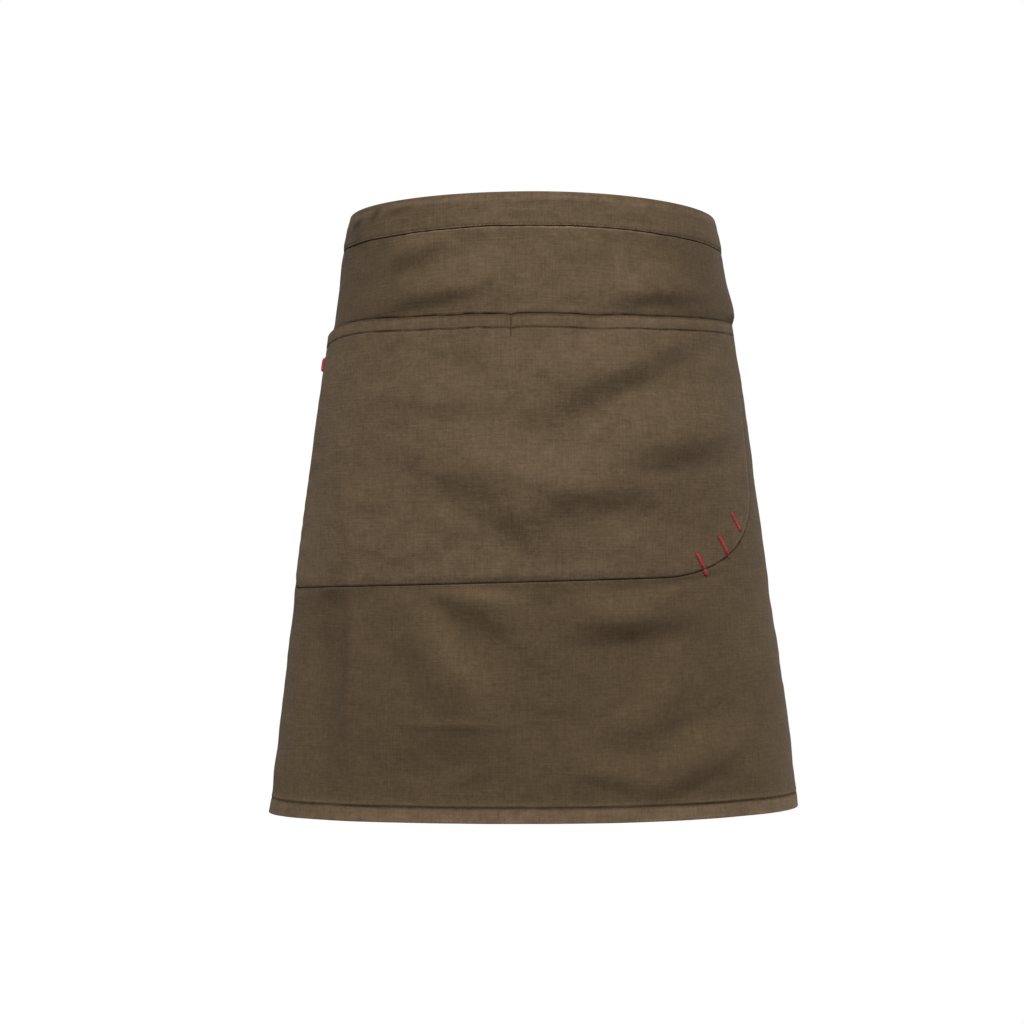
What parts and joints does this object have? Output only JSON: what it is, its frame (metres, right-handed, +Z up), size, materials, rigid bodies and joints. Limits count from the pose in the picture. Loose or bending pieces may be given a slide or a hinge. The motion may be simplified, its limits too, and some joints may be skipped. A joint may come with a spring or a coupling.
{
  "type": "bar apron",
  "caption": "Short waist apron in its worn form: a folded waistband with back ties, a flared panel and one wide patch pocket with a large rounded corner.",
  "frame": {"origin": "centre of the waist, halfway up the waistband at the front", "axes": "+Z up along the wearer's body, -Y towards the front of the apron, +X to the right as seen from the front"},
  "size_m": [0.4161, 0.2335, 0.4717],
  "materials": {
    "twill": "matt, dark brown cotton twill",
    "brown_thread": "matt, dark brown sewing thread",
    "red_thread": "soft sheen, red sewing thread"
  },
  "bodies": {
    "root": {"skirt_panel": "twill", "waistband": "twill", "pocket": "twill", "mouth_tack": "brown_thread", "red_tack_1": "red_thread", "red_tack_2": "red_thread", "red_tack_3": "red_thread", "red_tack_side": "red_thread", "tie_left": "twill", "tie_right": "twill", "tie_knot": "twill", "tail_left": "twill", "tail_right": "twill"}
  },
  "joints": []
}
